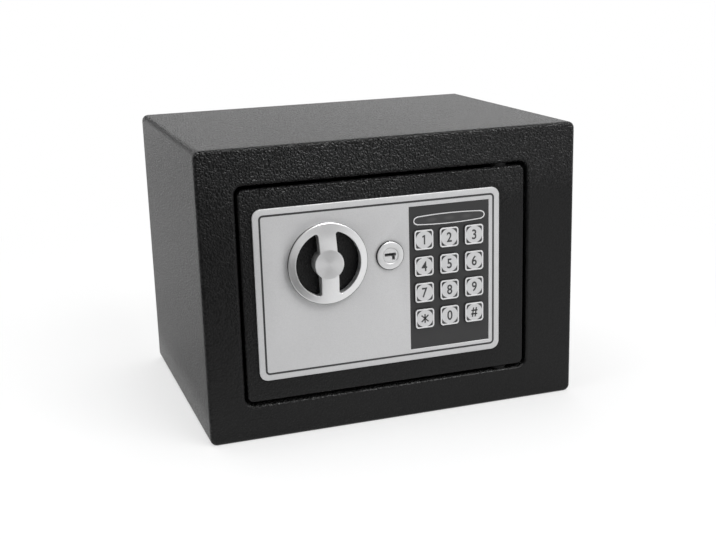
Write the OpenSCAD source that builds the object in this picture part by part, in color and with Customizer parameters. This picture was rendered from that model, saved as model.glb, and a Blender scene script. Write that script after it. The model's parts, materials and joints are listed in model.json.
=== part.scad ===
// Small steel safe with a keypad, a turning knob and an override key lock.
// X to the right, Y to the back, Z up, millimetres. The origin is the middle of the base.

/* [Body] */
// Outside width
body_w = 230; // [220:1:240]
// Outside depth, door face to back
body_d = 170; // [165:1:200]
// Outside height
body_h = 170; // [164:1:176]
// Sheet thickness of the folded wrap and the back
wall_t = 1.5; // [1:0.1:2]
// Sheet thickness of the front frame
frame_t = 2; // [1.6:0.1:2.2]
// Radius of the long outer corners
body_r = 4; // [3.5:0.1:5]
// Outer radius of every bend in the front frame
bend_r = 2; // [1.6:0.1:2.2]
// Depth of the flange that turns in around the door
jamb_d = 18; // [14:0.5:18]

/* [Door opening] */
// Left edge of the opening
open_x0 = -93.5; // [-95:0.5:-92]
// Right edge of the opening
open_x1 = 83.6; // [83.6:0.1:86]
// Height of the opening, which lies halfway up the front
open_h = 127.5; // [127.2:0.1:127.5]
// Corner radius of the opening
open_r = 5; // [4.5:0.1:6]

/* [Door] */
// Left edge of the door plate
door_x0 = -92; // [-92.2:0.1:-91]
// Right edge of the door plate
door_x1 = 81.5; // [80.5:0.1:82]
// Gap above and below the door plate
door_gap = 2; // [2:0.1:2.5]
// Thickness of the door plate
door_t = 3; // [2.6:0.1:3.4]
// Corner radius of the door plate
door_r = 3.5; // [3:0.1:4]
// Rounding along the front edge of the door plate
door_edge = 1; // [0.6:0.1:1.2]
// Depth of the box behind the door plate
box_d = 32; // [32:0.5:34]
// Sheet thickness of the box and its cover
box_t = 1.2; // [1:0.1:1.4]

/* [Hinge] */
// Hinge axis, across
hinge_x = 67.5; // [67.5:0.1:68]
// Hinge axis, back from the door face
hinge_in = 7.5; // [7:0.1:7.5]
// Radius of the hinge pins
hinge_pin_r = 3; // [2.5:0.1:3]
// Radial running clearance of the hinge pins
hinge_fit = 0.05; // [0.03:0.01:0.08]

/* [Fascia] */
// Left edge of the fascia
fascia_x0 = -84.7; // [-85.5:0.1:-84.5]
// Right edge of the fascia
fascia_x1 = 64.7; // [64.5:0.1:65.5]
// Bottom edge of the fascia, above the door's middle
fascia_low = -49.3; // [-50:0.1:-49]
// Top edge of the fascia, above the door's middle
fascia_high = 50.5; // [50:0.1:51.5]
// Thickness of the fascia
fascia_t = 1.5; // [1.2:0.1:1.6]
// Corner radius of the fascia
fascia_r = 5; // [3:0.5:7]

/* [Keypad] */
// Keypad panel, left edge
panel_x0 = 7.6; // [7.4:0.1:8]
// Keypad panel, right edge
panel_x1 = 57.95; // [57.9:0.05:58.4]
// Keypad panel, bottom edge above the door's middle
panel_low = -42.7; // [-43.3:0.1:-42.6]
// Keypad panel, top edge above the door's middle
panel_high = 43.55; // [43.2:0.05:43.6]
// Distance from key to key
key_pitch = 15.9; // [15.6:0.1:16]
// Width of a key
key_w = 11.7; // [11.2:0.1:12.4]
// Corner radius of a key
key_r = 1.8; // [1:0.1:2.4]
// Middle column, across
key_x = 32.2; // [32:0.1:33.2]
// Top row, above the door's middle
key_up = 23.6; // [23:0.1:23.8]
// How far a key goes in
key_travel = 0.8; // [0.5:0.1:0.9]
// Width of the lamp lens
lens_w = 45; // [42:0.5:46]
// Height of the lamp lens at its middle
lens_h = 6.5; // [5.5:0.1:7.5]
// Lamp lens, above the door's middle
lens_up = 34.9; // [34.4:0.1:35.1]

/* [Knob] */
// Knob axis, across
knob_x = -43; // [-43.2:0.1:-42]
// Knob axis, above the door's middle
knob_up = 16.6; // [16:0.1:17]
// Radius of the knob
knob_r = 23.7; // [23.3:0.1:24]
// Radius of the knob's windows
window_r = 19.2; // [18.5:0.1:19.6]
// Width of the bar across the knob
bar_w = 10.2; // [9:0.1:12]
// Radius of the knob's hub
hub_r = 8.5; // [8:0.1:9]
// Height of the knob's middle above the fascia
knob_h = 6.8; // [6:0.1:8]
// How far the knob's dome rises from its windows to its middle
knob_rise = 2.1; // [1.5:0.1:2.5]
// Radius of the spindle
spindle_r = 4; // [3.5:0.1:4]
// Radius of the crank
crank_r = 8.5; // [8.5:0.1:8.6]

/* [Bolts] */
// Radius of a bolt
bolt_r = 6; // [5:0.1:6]
// Lower bolt, above the door's middle
bolt_low = -33; // [-34:0.5:-32]
// Upper bolt, above the door's middle
bolt_high = 33; // [32:0.5:34]
// Bolt axis, back from the door face
bolt_in = 25.5; // [25.5:0.1:26]
// Bolt tips when drawn back
bolt_tip = -88; // [-88.5:0.1:-87.5]

/* [Override lock] */
// Lock axis, across
lock_x = -4.7; // [-5:0.1:-4.4]
// Lock axis, above the door's middle
lock_up = 16.5; // [16.5:0.1:16.6]
// Radius of the lock's bezel
lock_r = 8.5; // [8:0.1:9]
// Radius of the turning plug
plug_r = 4.5; // [4:0.1:4.8]
// Length of the keyway across the plug
keyway_w = 7; // [5:0.1:7.4]

/* [Anchor holes] */
// Radius of the anchor holes
anchor_r = 5; // [4:0.5:6]
// Distance between the two anchor holes
anchor_span = 110; // [90:1:130]

/* [Hidden] */
$fn = 48;
KEYS = ["1", "2", "3", "4", "5", "6", "7", "8", "9", "star", "0", "hash"];

// Planes across the depth
front_y = -body_d / 2;
back_y = body_d / 2;
wrap_y0 = front_y + 2 * bend_r;
door_y1 = front_y + door_t;
box_y1 = door_y1 + box_d;
cover_y1 = box_y1 + box_t;
fascia_y0 = front_y - fascia_t;

// Heights of the door, its box and what is on it
mid_z = body_h / 2;
open_z0 = mid_z - open_h / 2;
open_z1 = mid_z + open_h / 2;
door_z0 = open_z0 + door_gap;
door_z1 = open_z1 - door_gap;
fascia_z0 = mid_z + fascia_low;
fascia_z1 = mid_z + fascia_high;
panel_z0 = mid_z + panel_low;
panel_z1 = mid_z + panel_high;
key_z = mid_z + key_up;
lens_x = (panel_x0 + panel_x1) / 2;
lens_z = mid_z + lens_up;
knob_z = mid_z + knob_up;
lock_z = mid_z + lock_up;
bolt_z0 = mid_z + bolt_low;
bolt_z1 = mid_z + bolt_high;
box_x0 = -86;
box_x1 = 62;
box_z0 = mid_z - 57;
box_z1 = mid_z + 57;
box_r = 3;
cover_screw_len = 5;
housing_screw_len = 3.6;
contact_r = 4;
corner_in = 6;

// Small clearances
slip = 0.05;
free = 0.3;

// Hinge
hinge_y = front_y + hinge_in;
hinge_lift = 1;
bush_len = 5;
bush_r = 5;
bush_rim_r = 5.6;
block_h = 14;
block_x0 = 62.5;
block_x1 = 74;
block_y1 = hinge_y + 6.5;
pin_in_block = 12.5;

// Keypad stack, front to back
panel_y0 = fascia_y0 + 0.3;
lens_y0 = fascia_y0 + 0.1;
key_y0 = fascia_y0 - 0.9;
key_foot_t = 1;
key_gap = 0.2;
mat_y0 = front_y + 3;
mat_t = 1.2;
board_y0 = mat_y0 + mat_t;
board_t = 1.6;
housing_x0 = panel_x0 - 1.1;
housing_x1 = panel_x1 + 1.1;
housing_z0 = panel_z0 - 1.1;
housing_z1 = panel_z1 + 1.1;
housing_y1 = front_y + 13;
housing_t = 1.5;
ear_w = 26;
ear_h = 6.4;
lamp_pitch = 11;
lens_rise = 0.9;
lens_corner = 2.3;
socket_z = mid_z - 20;
socket_w = 4;
socket_h = 4;
wire_x = [17.5, 22.5];

// Knob and crank
knob_back = 0.2;
knob_lip = 0.7;
knob_lip_h = 3.5;
knob_step = 1.2;
knob_bush_r = 6;
window_fillet = 1.5;
spindle_y1 = front_y + 17.6;
crank_y0 = front_y + 13;
crank_y1 = front_y + 16.5;
crank_pin_r = 2.5;
throw = crank_r * sqrt(2);
pin_x = knob_x + throw / 2;

// Bolt carriage
plate_y0 = front_y + 18;
plate_y1 = front_y + 20;
plate_x0 = -72;
plate_x1 = -30;
plate_z0 = mid_z - 15;
plate_z1 = mid_z + 41;
strip_x1 = -68.2;
flange_z0 = bolt_z0 - 7;
flange_t = 2;
flange_y1 = front_y + 32;
bolt_y = front_y + bolt_in;
tenon_r = 4;
stud_x = -50;
stud_z = [mid_z - 7, mid_z + 35];
stud_r = 3;
stud_shoulder_r = 4.5;

// Blocking arm, plunger and solenoid
arm_z0 = mid_z + 7;
arm_z1 = arm_z0 + 3.8;
lug_drop = 4;
arm_x1 = 15;
notch_w = 7.6;
plunger_y = front_y + 19;
plunger_r = 3.5;
plunger_z0 = mid_z - 19.2;
plunger_z1 = arm_z0 - lug_drop - 0.5;
collar_r = 5;
collar_z0 = plunger_z1 - 6.7;
collar_z1 = plunger_z1 - 5.5;
coil_r = 8;
coil_z0 = plunger_z0 - 0.1;
coil_z1 = coil_z0 + 10.3;
yoke_t = 1.5;
yoke_x0 = -13;
yoke_x1 = 3.6;
yoke_z1 = coil_z1 + 10;
yoke_y1 = front_y + 27.5;
link_t = 1.5;
link_y0 = front_y + 22.6;
link_y1 = link_y0 + link_t;
cam_r = 5.2;
cam_pin_r = 1.5;
cam_pin_off = 2;
barrel_r = 7.2;
nut_r = 10.6;
nut_t = 3;
bezel_t = 1.6;
bezel_flat_t = 1;
bezel_cut = 0.7;
plug_sink = 0.3;
plug_face_y = fascia_y0 - bezel_t + plug_sink;
keyway_h = 1.8;
keyway_rise = 0.6;
keyway_notch = [1, 2.8, 2.6];
barrel_y1 = front_y + 17;
plug_fit = 0.1;

// Battery tray and its sliding lid
tray_x0 = -67;
tray_x1 = -10;
tray_z0 = mid_z - 52.8;
tray_z1 = mid_z - 21.2;
tray_t = 1.5;
cell_r = 7.1;
cell_len = 50.5;
cell_x0 = -63.9;
cell_pitch = 14.3;
cell_z = [for (k = [-1, 1]) (tray_z0 + tray_z1 + k * cell_pitch) / 2];
cell_y = [door_y1 + 9, door_y1 + 23.6];
wire_y = front_y + 30;
wire_z = (tray_z0 + tray_z1) / 2;
wire_r = 1.2;
lid_x0 = tray_x0 - 2;
lid_x1 = tray_x1 + 2;
lid_z0 = tray_z0 - 1.2;
lid_z1 = tray_z1 + 1.2;
lid_t = 1.5;
lid_travel = 56;
rail_w = 2;
rail_lip = 1.4;
rail_lip_t = 1;

// Reset button on the back of the door
reset_x = 40;
reset_z = mid_z + 27;
reset_r = 3;
reset_travel = 1.5;

// A flat shape in the plane of the door, from depth y0 back to y1
module slab(y0, y1) {
    translate([0, y1, 0])
        rotate([90, 0, 0])
            linear_extrude(y1 - y0)
                children();
}

// A round bar along the depth
module rod(x, z, y0, y1, r, r2 = undef) {
    translate([x, y1, z])
        rotate([90, 0, 0])
            cylinder(h = y1 - y0, r1 = r, r2 = is_undef(r2) ? r : r2);
}

// A box given by its two corners
module block(x0, x1, y0, y1, z0, z1) {
    translate([x0, y0, z0])
        cube([x1 - x0, y1 - y0, z1 - z0]);
}

// A rectangle with round corners, given by its edges
module rounded(x0, x1, z0, z1, r) {
    translate([x0 + r, z0]) square([x1 - x0 - 2 * r, z1 - z0]);
    translate([x0, z0 + r]) square([x1 - x0, z1 - z0 - 2 * r]);
    for (x = [x0 + r, x1 - r], z = [z0 + r, z1 - r])
        translate([x, z]) circle(r);
}

// Carries a profile around a rectangle with round corners: the profile's X is
// measured from the corner's centre, and its Y is the height towards the front
module around(x0, x1, z0, z1, r, y) {
    half = [(x1 - x0) / 2, (z1 - z0) / 2];
    translate([(x0 + x1) / 2, y, (z0 + z1) / 2])
        rotate([90, 0, 0])
            for (k = [0:3])
                rotate(90 * k)
                    translate([half[k % 2] - r, half[(k + 1) % 2] - r, 0]) {
                        rotate_extrude(angle = 90) children();
                        rotate([90, 0, 0])
                            linear_extrude(2 * (half[(k + 1) % 2] - r)) children();
                    }
}

// A quarter disc in the corner between +X and +Y, or mirrored by sign
module quarter(r, sign) {
    intersection() {
        circle(r);
        translate([sign > 0 ? 0 : -r, 0]) square(r);
    }
}

module body_wrap() {
    color([0.11, 0.11, 0.115])
        difference() {
            slab(wrap_y0, back_y) rounded(-body_w / 2, body_w / 2, 0, body_h, body_r);
            slab(wrap_y0 - 1, back_y + 1)
                rounded(-body_w / 2 + wall_t, body_w / 2 - wall_t, wall_t, body_h - wall_t, body_r - wall_t);
            for (x = [-1, 1])
                translate([x * anchor_span / 2, 0, -1]) cylinder(h = wall_t + 2, r = anchor_r);
        }
}

module front_frame() {
    color([0.11, 0.11, 0.115]) {
        slab(front_y, front_y + frame_t)
            difference() {
                rounded(-body_w / 2 + bend_r, body_w / 2 - bend_r, bend_r, body_h - bend_r, body_r - bend_r);
                rounded(open_x0 - bend_r, open_x1 + bend_r, open_z0 - bend_r, open_z1 + bend_r,
                        open_r + bend_r);
            }
        around(-body_w / 2, body_w / 2, 0, body_h, body_r, front_y) {
            translate([body_r - bend_r, -bend_r]) quarter(bend_r, 1);
            translate([body_r - bend_r, -2 * bend_r]) square(bend_r);
        }
        difference() {
            around(open_x0, open_x1, open_z0, open_z1, open_r, front_y) {
                translate([open_r + bend_r, -bend_r]) quarter(bend_r, -1);
                translate([open_r, -jamb_d]) square([frame_t, jamb_d - bend_r]);
            }
            translate([hinge_x, hinge_y, open_z0 - frame_t - 1])
                cylinder(h = open_z1 - open_z0 + 2 * frame_t + 2, r = bush_r + slip);
        }
    }
}

module back_panel() {
    x1 = body_w / 2 - wall_t;
    rim = 12;
    color([0.11, 0.11, 0.115])
        difference() {
            slab(back_y - rim, back_y) rounded(-x1, x1, wall_t, body_h - wall_t, body_r - 1);
            slab(back_y - rim - 1, back_y - wall_t)
                rounded(-x1 + wall_t, x1 - wall_t, 2 * wall_t, body_h - 2 * wall_t, body_r - 2);
            for (x = [-1, 1])
                rod(x * anchor_span / 2, body_h / 2, back_y - rim, back_y + 1, anchor_r);
        }
}

module floor_mat() {
    edge = 4;
    mat_h = 2;
    color([0.16, 0.16, 0.17])
        difference() {
            block(-body_w / 2 + edge, body_w / 2 - edge, front_y + 8, back_y - 14, wall_t, wall_t + mat_h);
            for (x = [-1, 1])
                translate([x * anchor_span / 2, 0, 0]) cylinder(h = 10, r = 2 * anchor_r);
        }
}

// One flanged bush, standing on the plane z with its flange on the door's side
module hinge_bush(z, up) {
    translate([hinge_x, hinge_y, z])
        mirror([0, 0, up ? 0 : 1])
            difference() {
                union() {
                    translate([0, 0, -bush_len]) cylinder(h = bush_len, r = bush_r);
                    cylinder(h = hinge_lift, r = bush_rim_r);
                }
                translate([0, 0, -bush_len - 1])
                    cylinder(h = bush_len + hinge_lift + 2, r = hinge_pin_r + hinge_fit);
            }
}

module hinge_bushes() {
    color([0.08, 0.08, 0.085]) {
        hinge_bush(open_z0, true);
        hinge_bush(open_z1, false);
    }
}

module door_plate() {
    color([0.12, 0.12, 0.125])
        difference() {
            union() {
                slab(front_y, door_y1)
                    rounded(door_x0 + door_edge, door_x1 - door_edge,
                            door_z0 + door_edge, door_z1 - door_edge, door_r - door_edge);
                around(door_x0, door_x1, door_z0, door_z1, door_r, front_y) {
                    translate([door_r - door_edge, -door_edge]) quarter(door_edge, 1);
                    translate([door_r - door_edge, -door_t]) square([door_edge, door_t - door_edge]);
                }
            }
            rod(knob_x, knob_z, front_y - 1, door_y1 + 1, knob_bush_r + slip);
            rod(lock_x, lock_z, front_y - 1, door_y1 + 1, barrel_r + slip);
            slab(front_y - 1, door_y1 + 1)
                rounded(housing_x0 - free, housing_x1 + free, housing_z0 - free, housing_z1 + free, 2);
            for (z = [housing_z0 - ear_h / 2, housing_z1 + ear_h / 2])
                rod(key_x, z, front_y + 0.6, door_y1 + 1, 1.4);
        }
}

module door_box() {
    tab = 9;
    color([0.13, 0.13, 0.135])
        difference() {
            union() {
                slab(door_y1, box_y1)
                    difference() {
                        rounded(box_x0, box_x1, box_z0, box_z1, box_r);
                        rounded(box_x0 + box_t, box_x1 - box_t,
                                box_z0 + box_t, box_z1 - box_t, box_r - box_t);
                    }
                for (x = [box_x0 + box_t, box_x1 - box_t - tab], z = [box_z0 + box_t, box_z1 - box_t - tab])
                    block(x, x + tab, box_y1 - box_t, box_y1, z, z + tab);
            }
            for (z = [bolt_z0, bolt_z1])
                translate([box_x0 - 1, bolt_y, z]) rotate([0, 90, 0])
                    cylinder(h = box_t + 2, r = bolt_r + free);
            for (x = [box_x0 + corner_in, box_x1 - corner_in], z = [box_z0 + corner_in, box_z1 - corner_in])
                rod(x, z, box_y1 - 3, box_y1 + 1, 1.45);
        }
}

module inner_cover() {
    rail_x1 = lid_x1 + lid_travel;
    lid_y0 = cover_y1 + slip;
    lip_y0 = lid_y0 + lid_t + slip;
    color([0.14, 0.14, 0.145])
        difference() {
            union() {
                slab(box_y1, cover_y1) rounded(box_x0, box_x1, box_z0, box_z1, box_r);
                for (side = [0, 1]) {
                    z = side == 0 ? lid_z0 - slip - rail_w : lid_z1 + slip;
                    lip_z = side == 0 ? z : z - rail_lip;
                    block(lid_x0 - slip - rail_w, rail_x1, cover_y1, lip_y0, z, z + rail_w);
                    block(lid_x0 - slip - rail_w, rail_x1, lip_y0, lip_y0 + rail_lip_t,
                          lip_z, lip_z + rail_w + rail_lip);
                }
                block(lid_x0 - slip - rail_w, lid_x0 - slip, cover_y1, lip_y0 + rail_lip_t,
                      lid_z0 - slip - rail_w, lid_z1 + slip + rail_w);
            }
            block(tray_x0 + 2, tray_x1 - 2, box_y1 - 1, cover_y1 + 1, tray_z0 + 2, tray_z1 - 2);
            rod(reset_x, reset_z, box_y1 - 1, cover_y1 + 1, reset_r + free);
            for (x = [box_x0 + corner_in, box_x1 - corner_in], z = [box_z0 + corner_in, box_z1 - corner_in])
                rod(x, z, box_y1 - 1, cover_y1 + 1, 1.7);
        }
}

// A pan-head screw pointing to the front, its head's seat at depth y
module screw(x, z, y, shank) {
    difference() {
        union() {
            rod(x, z, y, y + 1.6, 2.7);
            rod(x, z, y - shank, y, 1.35);
        }
        block(x - 1.9, x + 1.9, y + 0.9, y + 2, z - 0.35, z + 0.35);
        block(x - 0.35, x + 0.35, y + 0.9, y + 2, z - 1.9, z + 1.9);
    }
}

module screws() {
    color("silver") {
        for (x = [box_x0 + corner_in, box_x1 - corner_in], z = [box_z0 + corner_in, box_z1 - corner_in])
            screw(x, z, cover_y1, cover_screw_len);
        for (z = [housing_z0 - ear_h / 2, housing_z1 + ear_h / 2])
            screw(key_x, z, door_y1 + housing_t, housing_screw_len);
    }
}

module hinge_blocks() {
    color([0.13, 0.13, 0.135])
        difference() {
            for (z = [door_z0, door_z1 - block_h])
                block(block_x0, block_x1, door_y1, block_y1, z, z + block_h);
            translate([hinge_x, hinge_y, door_z0 - 1]) cylinder(h = 1 + pin_in_block, r = hinge_pin_r + slip);
            translate([hinge_x, hinge_y, door_z1 - pin_in_block]) cylinder(h = 20, r = hinge_pin_r + slip);
        }
}

module hinge_pins() {
    reach = door_gap + bush_len - 1;
    pin_h = reach + pin_in_block;
    color("silver") {
        translate([hinge_x, hinge_y, door_z0 - reach]) cylinder(h = pin_h, r = hinge_pin_r);
        translate([hinge_x, hinge_y, door_z1 - pin_in_block]) cylinder(h = pin_h, r = hinge_pin_r);
    }
}

module hinge_washers() {
    h = door_gap - hinge_lift - slip;
    color("gainsboro")
        for (z = [door_z0 - h, door_z1])
            translate([hinge_x, hinge_y, z])
                difference() {
                    cylinder(h = h, r = bush_r);
                    translate([0, 0, -1]) cylinder(h = h + 2, r = hinge_pin_r + slip);
                }
}

module fascia() {
    color([0.72, 0.72, 0.73])
        difference() {
            slab(fascia_y0, front_y) rounded(fascia_x0, fascia_x1, fascia_z0, fascia_z1, fascia_r);
            rod(knob_x, knob_z, fascia_y0 - 1, front_y + 1, window_r + 1.6);
            rod(lock_x, lock_z, fascia_y0 - 1, front_y + 1, barrel_r + 2 * slip);
            block(panel_x0, panel_x1, fascia_y0 - 1, front_y + 1, panel_z0, panel_z1);
        }
}

// Position of key number i, counted along the rows from the top left
function key_at(i) = [key_x + (i % 3 - 1) * key_pitch, key_z - floor(i / 3) * key_pitch];

// The lamp lens's outline: long arcs above and below, short round ends
module lens_outline(grow) {
    w = lens_w + 2 * grow;
    h = lens_h + 2 * grow;
    arc_r = (w * w / 4 + lens_rise * lens_rise) / (2 * lens_rise);
    intersection() {
        translate([lens_x, lens_z + h / 2 - arc_r]) circle(arc_r, $fn = 360);
        translate([lens_x, lens_z - h / 2 + arc_r]) circle(arc_r, $fn = 360);
        rounded(lens_x - w / 2, lens_x + w / 2, lens_z - h / 2, lens_z + h / 2, lens_corner);
    }
}

module keypad_panel() {
    color([0.2, 0.2, 0.21])
        difference() {
            block(panel_x0 + slip, panel_x1 - slip, panel_y0, front_y, panel_z0 + slip, panel_z1 - slip);
            slab(panel_y0 - 1, front_y + 1) {
                for (i = [0:11])
                    rounded(key_at(i)[0] - key_w / 2 - key_gap, key_at(i)[0] + key_w / 2 + key_gap,
                            key_at(i)[1] - key_w / 2 - key_gap, key_at(i)[1] + key_w / 2 + key_gap,
                            key_r + key_gap);
                lens_outline(slip);
            }
        }
}

module lamp_lens() {
    color([0.3, 0.3, 0.31]) {
        slab(lens_y0, front_y) lens_outline(0);
        slab(front_y, front_y + 0.8) lens_outline(1);
    }
}

module lamps() {
    color([0.8, 0.8, 0.78])
        for (i = [-1:1]) {
            rod(lens_x + i * lamp_pitch, lens_z, board_y0 - 1.6, board_y0, 1.9);
            rod(lens_x + i * lamp_pitch, lens_z, board_y0 - 3, board_y0 - 1.6, 1.5);
        }
}

module keypad_housing() {
    x0 = housing_x0;
    x1 = housing_x1;
    z0 = housing_z0;
    z1 = housing_z1;
    t = housing_t;
    color([0.1, 0.1, 0.11])
        difference() {
            union() {
                difference() {
                    slab(front_y, housing_y1) rounded(x0, x1, z0, z1, 1.7);
                    block(x0 + t, x1 - t, front_y - 1, housing_y1 - t, z0 + t, z1 - t);
                }
                for (x = [x0 + t + 3, x1 - t - 3], z = [z0 + t + 3, z1 - t - 3])
                    rod(x, z, board_y0 + board_t, housing_y1 - t, 2);
                for (z = [z0 - ear_h, z1])
                    block(key_x - ear_w / 2, key_x + ear_w / 2, door_y1, door_y1 + t, z, z + ear_h);
            }
            for (z = [z0 - ear_h / 2, z1 + ear_h / 2])
                rod(key_x, z, door_y1 - 1, door_y1 + t + 1, 1.55);
            block(wire_x[0] - 2.5, wire_x[1] + 2.5, housing_y1 - t - 1, housing_y1 + 1,
                  socket_z - 3.5, socket_z + 3.5);
        }
}

module key_mat() {
    pip_y0 = front_y + key_foot_t + key_travel + key_gap;
    color([0.25, 0.25, 0.26]) {
        block(housing_x0 + 2, housing_x1 - 2, mat_y0, board_y0,
              key_at(9)[1] - key_pitch / 2, key_at(0)[1] + key_pitch / 2 - 2);
        for (i = [0:11])
            rod(key_at(i)[0], key_at(i)[1], pip_y0, mat_y0, 2.6);
    }
}

module circuit_board() {
    y1 = board_y0 + board_t;
    color([0.1, 0.32, 0.17]) {
        block(housing_x0 + 1.8, housing_x1 - 1.8, board_y0, y1, housing_z0 + 1.8, housing_z1 - 1.8);
        block(key_x - 6, key_x + 6, y1, y1 + 1.6, socket_z + 13, socket_z + 25);
        block(wire_x[0] - socket_w / 2, wire_x[1] + socket_w / 2, y1, y1 + socket_h,
              socket_z - 3, socket_z + 3);
        rod(key_x - 12, socket_z + 33, y1, y1 + 4.5, 2.5);
    }
}

module buzzer() {
    y1 = board_y0 + board_t;
    color([0.08, 0.08, 0.08])
        difference() {
            rod(key_x + 12, socket_z - 5, y1, y1 + 4.5, 5.5);
            rod(key_x + 12, socket_z - 5, y1 + 3.5, y1 + 5, 1);
        }
}

module spindle_bush() {
    color("darkgoldenrod")
        difference() {
            union() {
                rod(knob_x, knob_z, front_y + 0.1, door_y1 + 1.5, knob_bush_r);
                rod(knob_x, knob_z, door_y1, door_y1 + 1.5, 1.5 * knob_bush_r);
            }
            rod(knob_x, knob_z, front_y - 1, door_y1 + 3, spindle_r + slip);
        }
}

module guide_studs() {
    color("silver")
        for (z = stud_z) {
            rod(stud_x, z, door_y1, plate_y0 - 0.1, stud_shoulder_r);
            rod(stud_x, z, door_y1, plate_y1 + 0.1, stud_r);
            rod(stud_x, z, plate_y1 + 0.1, plate_y1 + 1.3, stud_shoulder_r + 0.6);
        }
}

module solenoid_frame() {
    color([0.6, 0.6, 0.62])
        difference() {
            union() {
                block(yoke_x0, yoke_x1, door_y1, door_y1 + yoke_t, coil_z0 - yoke_t, yoke_z1);
                block(yoke_x0, yoke_x1, door_y1, yoke_y1, coil_z0 - yoke_t, coil_z0);
                block(yoke_x0, yoke_x1, door_y1, yoke_y1, coil_z1, coil_z1 + yoke_t);
            }
            translate([lock_x, plunger_y, coil_z1 - 1]) cylinder(h = yoke_t + 2, r = plunger_r + free);
        }
}

module solenoid_coil() {
    color([0.55, 0.3, 0.12])
        translate([lock_x, plunger_y, coil_z0])
            difference() {
                cylinder(h = coil_z1 - coil_z0, r = coil_r);
                translate([0, 0, -1]) cylinder(h = coil_z1 - coil_z0 + 2, r = plunger_r + free);
            }
}

module lock_barrel() {
    color([0.78, 0.78, 0.8])
        difference() {
            union() {
                rod(lock_x, lock_z, fascia_y0 - bezel_flat_t, fascia_y0, lock_r);
                rod(lock_x, lock_z, fascia_y0 - bezel_t, fascia_y0 - bezel_flat_t,
                    lock_r, lock_r - bezel_cut);
                rod(lock_x, lock_z, fascia_y0, barrel_y1, barrel_r);
            }
            rod(lock_x, lock_z, fascia_y0 - 2, barrel_y1 + 1, plug_r + plug_fit);
            rod(lock_x, lock_z, fascia_y0 - bezel_t - 0.01, plug_face_y,
                plug_r + plug_fit, plug_r + plug_fit + plug_sink);
        }
}

module lock_nut() {
    color("silver")
        difference() {
            rod_hex(lock_x, lock_z, door_y1, door_y1 + nut_t, nut_r);
            rod(lock_x, lock_z, door_y1 - 1, door_y1 + nut_t + 1, barrel_r + slip);
        }
}

// A hexagon bar along the depth, with two flats upright
module rod_hex(x, z, y0, y1, r) {
    translate([x, y1, z])
        rotate([90, 30, 0])
            cylinder(h = y1 - y0, r = r, $fn = 6);
}

module battery_tray() {
    color([0.1, 0.1, 0.11])
        difference() {
            block(tray_x0, tray_x1, door_y1, box_y1 - slip, tray_z0, tray_z1);
            block(tray_x0 + tray_t, tray_x1 - tray_t, door_y1 + tray_t, box_y1 + 1, tray_z0 + tray_t,
                  tray_z1 - tray_t);
            translate([tray_x1 - 2 * tray_t, wire_y, wire_z])
                rotate([0, 90, 0]) cylinder(h = 3 * tray_t, r = wire_r + 0.4);
        }
}

module battery_contacts() {
    w = 5;
    plate_x = tray_x1 - tray_t - 0.5;
    spring_x = cell_x0 + cell_len;
    color("gainsboro")
        for (y = cell_y, z = cell_z) {
            block(tray_x0 + tray_t, cell_x0, y - w, y + w, z - w, z + w);
            block(plate_x, tray_x1 - tray_t, y - w, y + w, z - w, z + w);
            translate([spring_x, y, z]) rotate([0, 90, 0])
                cylinder(h = plate_x - spring_x, r1 = contact_r * 0.6, r2 = contact_r);
        }
}

module batteries() {
    nub = 1.2;
    color([0.55, 0.45, 0.2])
        for (y = cell_y, z = cell_z)
            translate([cell_x0, y, z])
                rotate([0, 90, 0]) {
                    translate([0, 0, nub]) cylinder(h = cell_len - nub, r = cell_r);
                    cylinder(h = nub, r = 2.7);
                }
}

function unit(v) = v / norm(v);

// Direction of a route at point i: the mean of the stretches that meet there
function heading(p, i) =
    unit((i > 0 ? unit(p[i] - p[i - 1]) : [0, 0, 0])
        + (i < len(p) - 1 ? unit(p[i + 1] - p[i]) : [0, 0, 0]));

// A round wire of radius r along the points p, none of which leads straight up
module wire(p, r) {
    n = 8;
    rings = [for (i = [0:len(p) - 1])
        let (t = heading(p, i), u = unit(cross(t, [0, 0, 1])), v = cross(u, t))
            for (k = [0:n - 1]) p[i] + r * (cos(360 * k / n) * u + sin(360 * k / n) * v)];
    sides = [for (i = [0:len(p) - 2], k = [0:n - 1], half = [0, 1])
        let (a = i * n + k, b = i * n + (k + 1) % n)
            half == 0 ? [a, b, b + n] : [a, b + n, a + n]];
    ends = [[for (k = [n - 1:-1:0]) k], [for (k = [0:n - 1]) (len(p) - 1) * n + k]];
    polyhedron(rings, concat(sides, ends), convexity = 4);
}

module wiring() {
    plug_y = board_y0 + board_t + socket_h;
    color([0.5, 0.08, 0.06]) {
        wire([[tray_x1 - tray_t, wire_y, wire_z], [-4, wire_y, wire_z], [6, wire_y, wire_z + 1],
              [14, wire_y - 2, socket_z - 11], [17, wire_y - 6, socket_z - 5],
              [wire_x[0], wire_y - 14, socket_z], [wire_x[0], plug_y, socket_z]], wire_r);
        wire([[lock_x + coil_r, plunger_y, socket_z + 5], [9, plunger_y, socket_z + 5],
              [17, plunger_y + 0.5, socket_z + 4], [22, plunger_y - 1, socket_z + 2],
              [wire_x[1], plunger_y - 5, socket_z], [wire_x[1], plug_y, socket_z]], wire_r);
    }
}

module reset_switch() {
    w = 5;
    color([0.1, 0.1, 0.1])
        difference() {
            block(reset_x - w, reset_x + w, box_y1 - 10, box_y1, reset_z - w, reset_z + w);
            rod(reset_x, reset_z, box_y1 - 7, box_y1 + 1, reset_r + slip);
        }
}

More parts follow.
